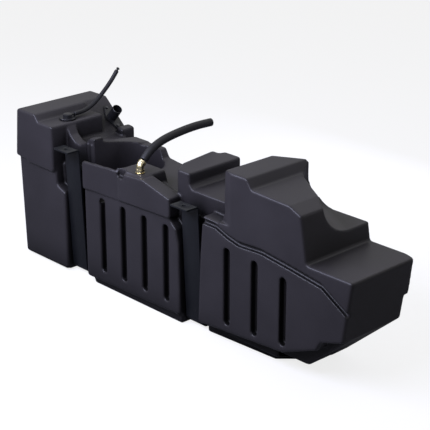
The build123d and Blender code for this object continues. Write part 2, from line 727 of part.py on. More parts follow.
spigot_radius = 16.0
spigot_bore = 14.0
spigot_end = -22.0
flap_hinge_x = -spigot_radius - 1
flap_hinge_z = spigot_end - 2.9
flap_radius = spigot_radius - 0.8
ear_half_gap = 5.0
ear_thickness = 2.0
ear_half_width = 2.2
save(oval_plate(filler, gasket_thickness, filler_hole_radius, filler_bolt_radius + bolt_clearance),
     "filler_gasket")
with BuildPart() as filler_neck:
    add(oval_plate(at(filler, 0, 0, gasket_thickness), filler_plate, filler_bore,
                   filler_bolt_radius + bolt_clearance))
    add(lathe(filler, [(spigot_bore, spigot_end), (spigot_radius, spigot_end),
                       (spigot_radius, gasket_thickness), (filler_tube_radius, gasket_thickness),
                       (filler_tube_radius, filler_length - 1), (filler_tube_radius - 1, filler_length),
                       (filler_bore, filler_length),
                       (filler_bore, 8), (spigot_bore, 4)]))
    for side in (-1, 1):
        with BuildSketch(side_of(filler, side * (ear_half_gap + ear_thickness / 2))):
            with BuildLine():
                Polyline((-spigot_bore + 0.2, spigot_end + 8), (flap_hinge_x - ear_half_width, spigot_end + 3),
                         (flap_hinge_x - ear_half_width, flap_hinge_z - ear_half_width),
                         (flap_hinge_x + ear_half_width, flap_hinge_z - ear_half_width),
                         (flap_hinge_x + ear_half_width, spigot_end), (-spigot_bore + 0.2, spigot_end),
                         close=True)
            make_face()
            with Locations((flap_hinge_x, flap_hinge_z)):
                Circle(flap_pin_radius + pin_clearance, mode=Mode.SUBTRACT)
        extrude(amount=ear_thickness / 2, both=True)
save(filler_neck.part, "filler_neck")

hinge_plane = side_of(at(filler, flap_hinge_x, 0, flap_hinge_z), 0)
pin_half = ear_half_gap + ear_thickness + 0.5
save(rod(hinge_plane.offset(-pin_half), flap_pin_radius, 2 * pin_half), "filler_flap_pin")

barrel_half = ear_half_gap - gap
barrel_radius = flap_pin_radius + 1.1
flap_top = spigot_end - gap
with BuildPart() as filler_flap:
    with BuildSketch(at(filler, 0, 0, flap_top)):
        Circle(flap_radius)
        with Locations((-flap_radius, 0)):
            Rectangle(2 * (flap_radius - spigot_bore + 0.6), 2 * flap_radius, mode=Mode.SUBTRACT)
        with Locations((flap_hinge_x / 2, 0)):
            Rectangle(-flap_hinge_x, 2 * barrel_half)
    extrude(amount=-flap_thickness)
    add(rod(hinge_plane.offset(-barrel_half), barrel_radius, 2 * barrel_half))
    add(rod(hinge_plane.offset(-pin_half), flap_pin_radius + pin_clearance, 2 * pin_half), mode=Mode.SUBTRACT)
save(filler_flap.part, "filler_flap")

bolt_seat = gasket_thickness + filler_plate
save(Compound([hex_bolt(at(filler, x, 0, bolt_seat), filler_bolt_radius,
                        bolt_seat + filler_insert_depth - 2) for x in filler_ends]), "filler_bolts")
save(Compound([rod(at(filler, x, 0, -filler_insert_depth), filler_bolt_radius + insert_wall,
                   filler_insert_depth, filler_bolt_radius + pin_clearance) for x in filler_ends]),
     "filler_inserts")


# ============================================================================================
# Sender on the well's floor: seal, flange, clamp ring, tubes, cup, filter and level gauge
# ============================================================================================
save(rod(sender, sender_flange_radius, seal_thickness, sender_hole_radius), "sender_seal")

flange_top = seal_thickness + sender_flange_thickness
plug_depth = 14.0
tube_radius = 4.0
nipple_foot = flange_top + 5
nipple_rise = 19.0
nipple_radius = 4.75
tube_spots = [(-16.0, 4.0), (-2.0, -20.0)]
tube_ends = [45.0, 84.0]
rod_radius = 3.0
rod_spots = [(0.0, 35.0), (0.0, -35.0)]
with BuildPart() as sender_flange:
    add(rod(at(sender, 0, 0, seal_thickness), sender_flange_radius, sender_flange_thickness))
    add(rod(at(sender, 0, 0, -plug_depth), sender_hole_radius - 1, plug_depth + seal_thickness))
    for x, y in tube_spots:
        add(rod(at(sender, x, y, flange_top), tube_radius + 3, nipple_foot - flange_top))
    for x, y in tube_spots:
        add(rod(at(sender, x, y, -plug_depth - 1), tube_radius + pin_clearance, plug_depth + flange_top + 7),
            mode=Mode.SUBTRACT)
    for x, y in rod_spots:
        add(rod(at(sender, x, y, -plug_depth - 1), rod_radius + pin_clearance, 11), mode=Mode.SUBTRACT)
save(sender_flange.part, "sender_flange")

with BuildPart() as lock_ring:
    add(rod(at(sender, 0, 0, flange_top), lock_ring_radius, lock_ring_thickness,
            sender_flange_radius - 2 * sender_lip))
    for x, y in bolt_spots:
        add(rod(at(sender, x, y, flange_top - 1), sender_bolt_radius + bolt_clearance,
                lock_ring_thickness + 2), mode=Mode.SUBTRACT)
save(lock_ring.part, "sender_lock_ring")

ring_top = flange_top + lock_ring_thickness
save(Compound([hex_bolt(at(sender, x, y, ring_top), sender_bolt_radius,
                        ring_top + sender_insert_depth - 3) for x, y in bolt_spots]), "sender_bolts")
save(Compound([rod(at(sender, x, y, -sender_insert_depth), sender_bolt_radius + insert_wall,
                   sender_insert_depth, sender_bolt_radius + pin_clearance) for x, y in bolt_spots]),
     "sender_inserts")

with BuildPart() as connector:
    with BuildSketch(at(sender, 22, 10, flange_top)):
        RectangleRounded(28, 18, 3)
    extrude(amount=16)
    with BuildSketch(at(sender, 22, 10, flange_top + 16)):
        RectangleRounded(23, 13, 2)
    extrude(amount=-11, mode=Mode.SUBTRACT)
    with BuildSketch(at(sender, 22, 10, flange_top + 3)):
        with GridLocations(5, 5, 4, 1):
            Circle(0.8)
    extrude(amount=9)
save(connector.part, "sender_connector")


def sender_tube(x, y, end):
    """Tube from a height in the tank to a wider nipple above the flange."""
    with BuildPart() as tube:
        add(rod(at(sender, x, y, end - well_floor), tube_radius, well_floor - end + nipple_foot + 1))
        add(rod(at(sender, x, y, nipple_foot), nipple_radius, nipple_rise))
        add(rod(at(sender, x, y, end - well_floor - 1), tube_radius - 1,
                well_floor - end + nipple_foot + nipple_rise + 2), mode=Mode.SUBTRACT)
    return tube.part


save(Compound([sender_tube(*spot, end) for spot, end in zip(tube_spots, tube_ends)]), "sender_tubes")

boss_height = 62.0
cup_wall = 2.0
cup_base = 3.0
rod_foot = cup_floor + cup_base
save(Compound([rod(at(sender, x, y, rod_foot - well_floor), rod_radius,
                   well_floor - rod_foot - plug_depth + 10 - gap) for x, y in rod_spots]), "sender_rods")
cup = Plane((well_x, sender_y, cup_floor))
with BuildPart() as reservoir_cup:
    add(rod(cup, cup_radius, cup_height, cup_radius - cup_wall))
    add(rod(cup, cup_radius, cup_base))
    for x, y in rod_spots:
        add(rod(at(cup, x, y, cup_base), rod_radius + 3.2, boss_height, rod_radius + pin_clearance))
    add(rod(at(cup, *tube_spots[0], 0), 5, cup_base), mode=Mode.SUBTRACT)
save(reservoir_cup.part, "reservoir_cup")

sock_thickness = 12.0
with BuildPart() as sock:
    with BuildSketch(at(cup, -10, 0, -4 - sock_thickness)):
        RectangleRounded(78, 44, 14)
    extrude(amount=sock_thickness)
    fillet(sock.edges().filter_by(Plane.XY), 4)
    add(rod(at(cup, *tube_spots[0], -4 - sock_thickness / 2), 4.8, sock_thickness / 2 + 4 + cup_base))
save(sock.part, "pickup_sock")

sensor_depth = 12.0
sensor_height = 40.0
pivot_height = 112.0
pivot_x = cup_radius + 7
pivot_length = 9.0
hub_thickness = 6.0
arm_drop = 33.0             # degrees below level with the tank empty
pivot = Plane((well_x + pivot_x, sender_y - 7, pivot_height), x_dir=(1, 0, 0), z_dir=(0, -1, 0))
with BuildPart() as level_sensor:
    with BuildSketch(Plane((well_x + cup_radius + sensor_depth / 2, sender_y, pivot_height - 26))):
        RectangleRounded(sensor_depth, 14, 1.5)
    extrude(amount=sensor_height)
    add(rod(pivot, arm_wire_radius, pivot_length))
save(level_sensor.part, "level_sensor")

hub_radius = 5.0
arm_dir = (cos(radians(arm_drop)), sin(radians(arm_drop)))
arm_plane = Plane(pivot.from_local_coords(Vector(0, 0, gap + hub_thickness / 2)), x_dir=(0, 1, 0),
                  z_dir=(arm_dir[0], 0, -arm_dir[1]))
with BuildPart() as float_arm:
    add(rod(pivot.offset(gap), hub_radius, hub_thickness))
    add(rod(arm_plane.offset(hub_radius / 2), arm_wire_radius, arm_length + 14 - hub_radius / 2))
    add(rod(pivot.offset(-1), arm_wire_radius + pin_clearance, pivot_length + 2), mode=Mode.SUBTRACT)
save(float_arm.part, "float_arm")
save(rod(pivot.offset(hub_thickness + 2 * gap), 4, 1.2, arm_wire_radius + pin_clearance / 5), "pivot_clip")

float_plane = arm_plane.offset(arm_length - 18)
with BuildPart() as level_float:
    with BuildSketch(float_plane):
        RectangleRounded(34, float_height, 5)
        Circle(arm_wire_radius + pin_clearance / 5, mode=Mode.SUBTRACT)
    extrude(amount=36)
save(level_float.part, "level_float")
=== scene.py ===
"""Looks of a moulded truck fuel tank, built round its CAD frame. All lengths are in metres."""

import json
from math import cos, pi, radians, sin, tan

import bmesh
import bpy
from bpy.props import FloatProperty, FloatVectorProperty, IntProperty, PointerProperty
from mathutils import Matrix, Vector


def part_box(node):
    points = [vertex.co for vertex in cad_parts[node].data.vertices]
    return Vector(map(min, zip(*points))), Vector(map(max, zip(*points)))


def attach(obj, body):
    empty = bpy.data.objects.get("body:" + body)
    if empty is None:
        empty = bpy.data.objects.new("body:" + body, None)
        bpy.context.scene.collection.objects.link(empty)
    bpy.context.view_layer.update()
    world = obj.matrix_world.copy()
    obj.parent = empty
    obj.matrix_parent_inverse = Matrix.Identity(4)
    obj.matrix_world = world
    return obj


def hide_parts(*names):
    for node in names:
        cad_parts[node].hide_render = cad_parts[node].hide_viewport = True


bl_info = {
    "name": "Truck fuel tank",
    "version": (1, 0, 0),
    "blender": (4, 5, 0),
    "location": "View3D > Sidebar > Fuel tank",
    "description": "Builds the skin, hoses, fittings and stage of a moulded fuel tank",
    "category": "Object",
}

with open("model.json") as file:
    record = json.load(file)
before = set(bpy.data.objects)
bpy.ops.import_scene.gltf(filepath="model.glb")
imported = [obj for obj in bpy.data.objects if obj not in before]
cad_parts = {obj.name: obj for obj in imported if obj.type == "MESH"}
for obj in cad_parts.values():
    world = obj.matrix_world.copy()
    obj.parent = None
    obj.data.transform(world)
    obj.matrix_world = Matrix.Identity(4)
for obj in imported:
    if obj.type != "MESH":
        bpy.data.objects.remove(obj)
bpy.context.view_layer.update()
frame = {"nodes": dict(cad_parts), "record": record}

MM = 0.001
SHARP_ANGLE = radians(32)
SAME_CORNER = 0.005 * MM            # corners of a CAD mesh this near are one point
SAME_TURNED_POINT = 0.001 * MM
TURNED_STEPS = 48
NOISE_LOW, NOISE_HIGH = 0.3, 0.7    # nearly all of a noise's values lie between these
OPEN_LOW, OPEN_HIGH = 0.3, 0.95     # open share deep in a groove and on a flat face
EDGE_LOW, EDGE_HIGH = 0.515, 0.56   # pointiness of a flat face and of a rounded corner
WAVES = 20 / (2 * pi)               # that a wave texture draws across one metre at a scale of 1


def linear(code):
    """Linear colour of an sRGB hex value such as 1b1c20."""
    shares = [int(code[i:i + 2], 16) / 255 for i in (0, 2, 4)]
    return tuple(s / 12.92 if s <= 0.04045 else ((s + 0.055) / 1.055) ** 2.4 for s in shares)


# ---- Sizes and colours that a user would change -----------------------------------------------
class TankLooks(bpy.types.PropertyGroup):
    """Finish of the tank's own pieces."""

    plastic: FloatVectorProperty(
        name="Tank plastic", description="Colour of the moulded polyethylene",
        subtype="COLOR", size=3, min=0, max=1, default=linear("2b292b"))
    steel: FloatVectorProperty(
        name="Sling coat", description="Colour of the powder coat on the slings",
        subtype="COLOR", size=3, min=0, max=1, default=linear("0e1013"))
    rubber: FloatVectorProperty(
        name="Hose rubber", description="Colour of both hoses",
        subtype="COLOR", size=3, min=0, max=1, default=linear("141416"))
    brass: FloatVectorProperty(
        name="Brass", description="Colour of the machined brass elbow",
        subtype="COLOR", size=3, min=0, max=1, default=linear("efe2b8"))
    skin_detail: FloatProperty(
        name="Skin detail", description="Grid size that the tank's skin is remeshed on",
        unit="LENGTH", min=0.002, max=0.02, default=3.4 * MM)
    skin_softness: IntProperty(
        name="Skin softness", description="Smoothing passes that round the moulded corners",
        min=0, max=20, default=6)
    edge_round: FloatProperty(
        name="Strip edge", description="Rounding of the steel strips' cut edges",
        unit="LENGTH", min=0.0001, max=0.003, default=0.9 * MM)


class HoseLooks(bpy.types.PropertyGroup):
    """Sizes of the hoses and of the elbow that the larger one is pushed on."""

    vent_radius: FloatProperty(
        name="Valve hose radius", description="Outer radius of the rollover valve's hose",
        unit="LENGTH", min=0.003, max=0.02, default=8 * MM)
    vent_bore: FloatProperty(
        name="Valve hose bore", description="Inner radius of the rollover valve's hose",
        unit="LENGTH", min=0.001, max=0.015, default=4.5 * MM)
    breather_radius: FloatProperty(
        name="Breather hose radius", description="Outer radius of the breather hose",
        unit="LENGTH", min=0.005, max=0.03, default=14.5 * MM)
    breather_bore: FloatProperty(
        name="Breather hose bore", description="Inner radius of the breather hose",
        unit="LENGTH", min=0.002, max=0.025, default=9.5 * MM)
    elbow_body: FloatProperty(
        name="Elbow body", description="Radius of the elbow's round body",
        unit="LENGTH", min=0.006, max=0.02, default=13.6 * MM)
    elbow_bend: FloatProperty(
        name="Elbow bend", description="Radius of the elbow's centre line",
        unit="LENGTH", min=0.014, max=0.04, default=16 * MM)


class StageLooks(bpy.types.PropertyGroup):
    """Floor, light and camera."""

    floor: FloatVectorProperty(
        name="Floor", description="Colour of the floor",
        subtype="COLOR", size=3, min=0, max=1, default=linear("f6f6f6"))
    key_strength: FloatProperty(
        name="Key light", description="Strength of the soft light from above",
        min=0, max=20, default=0.75)
    fill_strength: FloatProperty(
        name="Fill light", description="Power of the panel light in front of the tank",
        min=0, max=200, default=80)
    back_strength: FloatProperty(
        name="Back light", description="Power of the panel light behind the tank",
        min=0, max=200, default=30)
    lens: FloatProperty(
        name="Lens", description="Focal length in millimetres",
        min=10, max=400, default=114.1)


# ---- Helpers ----------------------------------------------------------------------------------
def add_node(tree, kind, inputs=None, **settings):
    """Add a node; an input takes a value, a socket's link or the link of a node's first output."""
    made = tree.nodes.new(kind)
    for name, value in settings.items():
        setattr(made, name, value)
    for name, value in (inputs or {}).items():
        if isinstance(value, bpy.types.Node):
            value = value.outputs[0]
        if isinstance(value, bpy.types.NodeSocket):
            tree.links.new(value, made.inputs[name])
        else:
            made.inputs[name].default_value = value
    return made


def new_piece(name, mesh_or_curve, body, material):
    """Link an object that rides on a body and takes its finish from a slot."""
    piece = bpy.data.objects.new(name, mesh_or_curve)
    bpy.context.scene.collection.objects.link(piece)
    piece.data.materials.clear()
    piece.data.materials.append(material)
    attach(piece, body)
    return piece


def finished(piece):
    """Mesh of a piece with its modifiers applied."""
    bpy.context.view_layer.update()
    evaluated = piece.evaluated_get(bpy.context.evaluated_depsgraph_get())
    return bpy.data.meshes.new_from_object(evaluated)


def merged_copy(node):
    """A bmesh of a CAD node's triangles with their corners joined."""
    bm = bmesh.new()
    bm.from_mesh(frame["nodes"][node].data)
    bmesh.ops.remove_doubles(bm, verts=bm.verts, dist=SAME_CORNER)
    return bm


def sharp_edges(bm):
    """Edges where two faces meet at more than the sharp angle."""
    return [e for e in bm.edges if len(e.link_faces) == 2 and e.calc_face_angle() > SHARP_ANGLE]


def to_mesh(bm, name):
    """Finish a bmesh as a mesh, smooth but for its sharp edges."""
    for face in bm.faces:
        face.smooth = True
    for edge in sharp_edges(bm):
        edge.smooth = False
    mesh = bpy.data.meshes.new(name)
    bm.to_mesh(mesh)
    bm.free()
    return mesh


def bevel(bm, edges, width, segments):
    """Round edges with an even width."""
    bmesh.ops.bevel(bm, geom=edges, offset=width, offset_type="OFFSET", segments=segments,
                    profile=0.5, affect="EDGES", material=-1, clamp_overlap=True)


def turned(bm, outline, place):
    """Spin an outline of (radius, height) pairs that starts and ends on the axis."""
    verts = [bm.verts.new(place @ Vector((radius, 0, height))) for radius, height in outline]
    edges = [bm.edges.new(pair) for pair in zip(verts, verts[1:])]
    axis = place.to_3x3() @ Vector((0, 0, 1))
    bmesh.ops.spin(bm, geom=verts + edges, cent=place.translation, axis=axis, angle=2 * pi,
                   steps=TURNED_STEPS, use_merge=True, use_duplicate=False)
    bmesh.ops.remove_doubles(bm, verts=bm.verts, dist=SAME_TURNED_POINT)


def upright(point, direction=(0, 0, 1)):
    """Matrix that stands a shape on a point, with its height along a direction."""
    turn = Vector(direction).to_track_quat("Z", "X").to_matrix().to_4x4()
    return Matrix.Translation(point) @ turn


# ---- Materials --------------------------------------------------------------------------------
def start_material(name):
    """An empty node material with its output, its tree and the object's own coordinates."""
    material = bpy.data.materials.new(name)
    material.use_nodes = True
    tree = material.node_tree
    tree.nodes.clear()
    place = add_node(tree, "ShaderNodeTexCoord").outputs["Object"]
    return material, tree, place


def finish_material(tree, shader):
    """Connect a shader to the material's output."""
    add_node(tree, "ShaderNodeOutputMaterial", {"Surface": shader})


def tinted(tree, value, spread, colour, shades):
    """A colour that goes from a darker to a lighter shade as a value crosses its spread."""
    share = add_node(tree, "ShaderNodeMapRange", {
        "Value": value, "From Min": spread[0], "From Max": spread[1]})
    ramp = add_node(tree, "ShaderNodeValToRGB", {"Fac": share})
    for element, shade in zip(ramp.color_ramp.elements, shades):
        element.color = (*(channel * shade for channel in colour), 1)
    return ramp


def patchy_shader(tree, patches, colour, shades, roughness, relief, inputs):
    """A shader whose colour and roughness follow the same patches."""
    return add_node(tree, "ShaderNodeBsdfPrincipled", {
        "Base Color": tinted(tree, patches, (NOISE_LOW, NOISE_HIGH), colour, shades),
        "Roughness": add_node(tree, "ShaderNodeMapRange", {
            "Value": patches, "From Min": NOISE_LOW, "From Max": NOISE_HIGH,
            "To Min": roughness[0], "To Max": roughness[1]}),
        "Normal": relief,
        **inputs})


def by_ray(tree, plain, mirrored, seen):
    """One value for light's own rays, one for rays off gloss or glass, one for the camera's."""
    path = add_node(tree, "ShaderNodeLightPath").outputs
    gloss = add_node(tree, "ShaderNodeMath", {
        0: path["Is Glossy Ray"], 1: path["Is Transmission Ray"]}, operation="MAXIMUM")
    unseen = add_node(tree, "ShaderNodeMapRange", {
        "Value": gloss, "To Min": plain, "To Max": mirrored})
    return add_node(tree, "ShaderNodeMapRange", {
        "Value": path["Is Camera Ray"], "To Min": unseen, "To Max": seen})


def painted_hollow_shade(tree, reach, darkest):
    """Painted shade: one in the open, down to the darkest value in grooves and inner corners."""
    open_share = add_node(tree, "ShaderNodeAmbientOcclusion", {"Distance": reach}, samples=12)
    return add_node(tree, "ShaderNodeMapRange", {
        "Value": open_share.outputs["AO"], "From Min": OPEN_LOW, "From Max": OPEN_HIGH,
        "To Min": darkest, "To Max": 1.0})


def painted_edge_shade(tree, darkest):
    """One on flat faces, down to the darkest value along outer edges: painted shade for their dark
    reflection.
    """
    pointed = add_node(tree, "ShaderNodeNewGeometry").outputs["Pointiness"]
    return add_node(tree, "ShaderNodeMapRange", {
        "Value": pointed, "From Min": EDGE_LOW, "From Max": EDGE_HIGH,
        "To Min": 1.0, "To Max": darkest})


def moulded_polyethylene(colour):
    """Rotomoulded polyethylene: satin black, with fine orange peel and a soft cloudy gloss."""
    material, tree, place = start_material("rotomoulded_polyethylene")
    cloud = add_node(tree, "ShaderNodeTexNoise", {      # resin flow, a hand's width across
        "Vector": place, "Scale": 1 / (140 * MM), "Detail": 4})
    peel = add_node(tree, "ShaderNodeTexNoise", {       # orange peel, about 5 mm
        "Vector": place, "Scale": 1 / (5 * MM), "Detail": 2})
    grain = add_node(tree, "ShaderNodeTexNoise", {      # grit-blasted mould, about 1 mm
        "Vector": place, "Scale": 1 / (1.2 * MM), "Detail": 2})
    coarse = add_node(tree, "ShaderNodeBump", {
        "Height": peel, "Strength": 0.16, "Distance": 0.4 * MM})
    fine = add_node(tree, "ShaderNodeBump", {
        "Height": grain, "Strength": 0.12, "Distance": 0.1 * MM, "Normal": coarse})
    # painted shade along outer edges, which are also left glossier
    edges = painted_edge_shade(tree, darkest=0.3)
    # painted shade: the base colour darkens in recesses and creases, where shade falls
    recess_shade = painted_hollow_shade(tree, reach=150 * MM, darkest=0.04)
    crease_shade = painted_hollow_shade(tree, reach=26 * MM, darkest=0.25)
    hollow_shade = add_node(tree, "ShaderNodeMath", {0: recess_shade, 1: crease_shade}, operation="MULTIPLY")
    # painted shade of hollows and outer edges, multiplied into the base colour
    shade = add_node(tree, "ShaderNodeMath", {0: hollow_shade, 1: edges}, operation="MULTIPLY")
    base = add_node(tree, "ShaderNodeVectorMath", {
        0: tinted(tree, cloud, (NOISE_LOW, NOISE_HIGH), colour, shades=(0.9, 1.12)),
        "Scale": shade}, operation="SCALE")
    flow = add_node(tree, "ShaderNodeMapRange", {
        "Value": cloud, "From Min": NOISE_LOW, "From Max": NOISE_HIGH,
        "To Min": 0.8, "To Max": 1.0})
    matt = add_node(tree, "ShaderNodeMath", {0: flow, 1: edges}, operation="MULTIPLY")
    shader = add_node(tree, "ShaderNodeBsdfPrincipled", {
        "Base Color": base,
        "Roughness": add_node(tree, "ShaderNodeMapRange", {
            "Value": matt, "From Min": 0.3, "From Max": 1.0, "To Min": 0.26, "To Max": 0.46}),
        "IOR": 1.51,
        "Specular IOR Level": 0.24,
        "Normal": fine})
    finish_material(tree, shader)
    return material


def powder_coated_steel(colour):
    """Powder-coated strip steel: satin black, finely pebbled."""
    material, tree, place = start_material("powder_coated_steel")
    pebble = add_node(tree, "ShaderNodeTexNoise", {     # coat's pebble, drawn at 1.5 mm to show
        "Vector": place, "Scale": 1 / (1.5 * MM), "Detail": 2})
    drift = add_node(tree, "ShaderNodeTexNoise", {      # thicker and thinner coat
        "Vector": place, "Scale": 1 / (60 * MM), "Detail": 3})
    bump = add_node(tree, "ShaderNodeBump", {
        "Height": pebble, "Strength": 0.15, "Distance": 0.15 * MM})
    shader = patchy_shader(tree, drift, colour, shades=(0.93, 1.08), roughness=(0.4, 0.5),
                           relief=bump, inputs={"IOR": 1.5, "Specular IOR Level": 0.3})
    finish_material(tree, shader)
    return material


def rubber(name, colour, rough, grain_size):
    """Moulded or extruded rubber: matt, with a faint bloom and fine grain."""
    material, tree, place = start_material(name)
    bloom = add_node(tree, "ShaderNodeTexNoise", {      # wax that came to the surface
        "Vector": place, "Scale": 1 / (18 * MM), "Detail": 3})
    grain = add_node(tree, "ShaderNodeTexNoise", {
        "Vector": place, "Scale": 1 / grain_size, "Detail": 2})
    bump = add_node(tree, "ShaderNodeBump", {
        "Height": grain, "Strength": 0.25, "Distance": 0.12 * MM})
    shader = patchy_shader(tree, bloom, colour, shades=(0.88, 1.2),
                           roughness=(rough - 0.05, rough + 0.05),
                           relief=bump, inputs={"IOR": 1.52, "Specular IOR Level": 0.3})
    finish_material(tree, shader)
    return material


def moulded_plastic(name, colour, rough):
    """Injection-moulded engineering plastic: even, with a spark-eroded mould's grain."""
    material, tree, place = start_material(name)
    grain = add_node(tree, "ShaderNodeTexNoise", {      # spark-erosion grain, drawn at 0.8 mm
        "Vector": place, "Scale": 1 / (0.8 * MM), "Detail": 2})
    flow = add_node(tree, "ShaderNodeTexNoise", {       # melt that met the mould hotter or colder
        "Vector": place, "Scale": 1 / (25 * MM), "Detail": 3})
    bump = add_node(tree, "ShaderNodeBump", {
        "Height": grain, "Strength": 0.15, "Distance": 0.06 * MM})
    shader = patchy_shader(tree, flow, colour, shades=(0.95, 1.05),
                           roughness=(rough - 0.04, rough + 0.04),
                           relief=bump, inputs={"IOR": 1.49, "Specular IOR Level": 0.35})
    finish_material(tree, shader)
    return material


def turned_metal(name, colour, rough, spacing):
    """Turned metal: bright, with faint tool rings round it, spaced widely enough to show."""
    material, tree, place = start_material(name)
    rings = add_node(tree, "ShaderNodeTexWave", {
        "Vector": place, "Scale": 1 / (WAVES * spacing), "Distortion": 0.4, "Detail": 1.0},
        wave_type="BANDS", bands_direction="Z").outputs["Fac"]
    handling = add_node(tree, "ShaderNodeTexNoise", {   # duller where hands have been
        "Vector": place, "Scale": 1 / (6 * MM), "Detail": 3})
    bump = add_node(tree, "ShaderNodeBump", {
        "Height": rings, "Strength": 0.06, "Distance": 0.05 * MM})
    shader = patchy_shader(tree, handling, colour, shades=(0.9, 1.0),
                           roughness=(rough - 0.05, rough + 0.07),
                           relief=bump, inputs={"Metallic": 1.0})
    finish_material(tree, shader)
    return material


def woven_filter(colour):
    """Woven polyester filter cloth: matt threads, drawn 5.7 mm apart so that they show."""
    material, tree, place = start_material("woven_polyester")
    warp, weft = (add_node(tree, "ShaderNodeTexWave", {
        "Vector": place, "Scale": 1 / (WAVES * 5.6549 * MM)},
        wave_type="BANDS", bands_direction=way).outputs["Fac"] for way in "XY")
    weave = add_node(tree, "ShaderNodeMath", {0: warp, 1: weft}, operation="MULTIPLY")
    shader = add_node(tree, "ShaderNodeBsdfPrincipled", {
        "Base Color": tinted(tree, weave, (0, 1), colour, shades=(0.7, 1.05)),
        "Roughness": 0.9,
        "Normal": add_node(tree, "ShaderNodeBump", {
            "Height": weave, "Strength": 0.5, "Distance": 0.3 * MM})})
    finish_material(tree, shader)
    return material


def build_materials(looks):
    """One material for each of the record's slots."""
    return {
        "tank_plastic": moulded_polyethylene(looks.plastic),
        "sling_steel": powder_coated_steel(looks.steel),
        "liner_rubber": rubber("ribbed_sheet_rubber", linear("121212"), rough=0.8,
                               grain_size=1.5 * MM),
        "seal_rubber": rubber("nitrile_rubber", linear("151515"), rough=0.72,
                              grain_size=0.9 * MM),
        "hose_rubber": rubber("extruded_hose_rubber", looks.rubber, rough=0.5,
                              grain_size=0.8 * MM),
        "valve_plastic": moulded_plastic("glass_filled_nylon", linear("18181a"), rough=0.36),
        "poppet_plastic": moulded_plastic("acetal", linear("e4e3da"), rough=0.4),
        "breather_plastic": moulded_plastic("black_acetal", linear("161616"), rough=0.35),
        "brass": turned_metal("turned_brass", looks.brass, rough=0.2, spacing=3.1416 * MM),
        "neck_metal": moulded_plastic("epoxy_coated_steel", linear("141416"), rough=0.34),
        "zinc_steel": turned_metal("black_zinc_plated_steel", linear("4a4b4e"), rough=0.36,
                                   spacing=2.5133 * MM),
        "cup_plastic": moulded_plastic("natural_acetal", linear("e2e0d2"), rough=0.42),
        "filter_cloth": woven_filter(linear("d8d7cf")),
        "float_foam": rubber("nitrile_foam", linear("1d1d1d"), rough=0.85,
                             grain_size=1.8 * MM),
    }


MATERIALS = {}


# ---- Hose routes ------------------------------------------------------------------------------
# Where each hose leaves its fitting, then the points that its line bends towards.
VENT_X = -0.648
VENT_ROUTE = [(VENT_X, y, z) for y, z in [
    (-0.037, 0.566), (-0.011, 0.566), (0.017, 0.570), (0.044, 0.5798), (0.070, 0.5954),
    (0.098, 0.6176), (0.128, 0.6438), (0.152, 0.6683), (0.1685, 0.6887)]]
BREATHER_X = -0.160
BREATHER_ROUTE = [(BREATHER_X, y, z) for y, z in [
    (-0.120293, 0.528708), (-0.1012, 0.5478), (-0.077, 0.5638), (-0.0485, 0.5759),
    (-0.0116, 0.5851), (0.0359, 0.5918), (0.0917, 0.5967), (0.1457, 0.5981), (0.1936, 0.5956)]]
ELBOW_TURN = radians(45)            # of the elbow, from upright to the larger hose's first line


# ---- Operators --------------------------------------------------------------------------------
class FUELTANK_OT_finishes(bpy.types.Operator):
    """Make the materials and give every CAD node the one of its slot"""

    bl_idname = "fueltank.finishes"
    bl_label = "Finishes"

    def execute(self, context):
        MATERIALS.update(build_materials(context.scene.tank_looks))
        for part in frame["record"]["subparts"]:
            node = frame["nodes"][part["node"]]
            node.material_slots[0].material = MATERIALS[part["material_slot"]]
        return {"FINISHED"}


class FUELTANK_OT_skin(bpy.types.Operator):
    """Round the tank's moulded corners: its shell is remeshed, smoothed and thinned"""

    bl_idname = "fueltank.skin"
    bl_label = "Tank skin"

    TRIANGLES = 185000      # left after the thinning, under a piece's limit of 200,000

    def execute(self, context):
        looks = context.scene.tank_looks
        skin = new_piece("tank_skin", to_mesh(merged_copy("tank_shell"), "tank_skin"),
                         "tank", MATERIALS["tank_plastic"])
        remesh = skin.modifiers.new("Remesh", "REMESH")
        remesh.mode = "VOXEL"
        remesh.voxel_size = looks.skin_detail
        smooth = skin.modifiers.new("Smooth", "SMOOTH")
        smooth.factor = 0.5
        smooth.iterations = looks.skin_softness
        dense = finished(skin)
        skin.modifiers.clear()
        skin.data = dense
        thin = skin.modifiers.new("Decimate", "DECIMATE")
        thin.ratio = self.TRIANGLES / (2 * len(dense.polygons))     # of quads cut in two
        mesh = finished(skin)
        skin.modifiers.clear()
        mesh.materials.clear()
        mesh.materials.append(MATERIALS["tank_plastic"])
        mesh.shade_smooth()
        skin.data = mesh
        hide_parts("tank_shell")
        return {"FINISHED"}


class FUELTANK_OT_slings(bpy.types.Operator):
    """Bend-formed steel slings with rounded cut edges"""

    bl_idname = "fueltank.slings"
    bl_label = "Slings"

    def execute(self, context):
        for name in ("sling_front", "sling_rear"):
            bm = merged_copy(name)
            bmesh.ops.dissolve_limit(bm, angle_limit=radians(1), verts=bm.verts, edges=bm.edges)
            bevel(bm, sharp_edges(bm), context.scene.tank_looks.edge_round, segments=2)
            strip = new_piece(name + "_strip", to_mesh(bm, name), "tank",
                              MATERIALS["sling_steel"])
            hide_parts(name)
        return {"FINISHED"}


